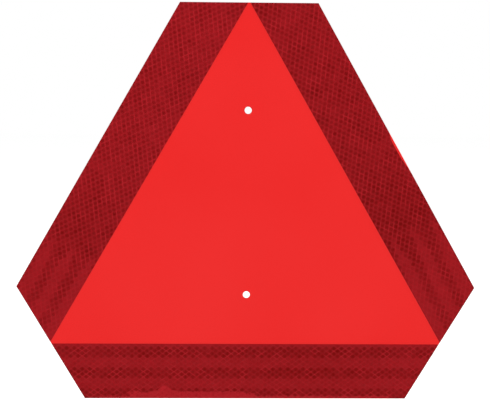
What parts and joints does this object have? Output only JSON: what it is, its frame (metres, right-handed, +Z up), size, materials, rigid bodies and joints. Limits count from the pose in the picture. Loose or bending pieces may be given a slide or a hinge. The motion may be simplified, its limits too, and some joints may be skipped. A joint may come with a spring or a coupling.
{
  "type": "slow moving vehicle sign",
  "caption": "Flat six-sided vehicle rear marker: a fluorescent triangle inside a red reflective tape border, with bolt holes on its centre line.",
  "frame": {"origin": "midway between the bolt holes, on the back of the sheet, where the sign meets what carries it", "axes": "upright: +X across the sign's width, +Y out of its back, -Y out of its face, +Z up"},
  "size_m": [0.4092, 0.0016, 0.3545],
  "materials": {
    "aluminium_sheet": "mill finish",
    "fluorescent_film": "fluorescent film, satin",
    "reflective_tape": "prismatic reflective, dark red"
  },
  "bodies": {
    "root": {"backing_plate": "aluminium_sheet", "fluorescent_face": "fluorescent_film", "left_border_strip": "reflective_tape", "right_border_strip": "reflective_tape", "bottom_border_strip": "reflective_tape"}
  },
  "joints": []
}
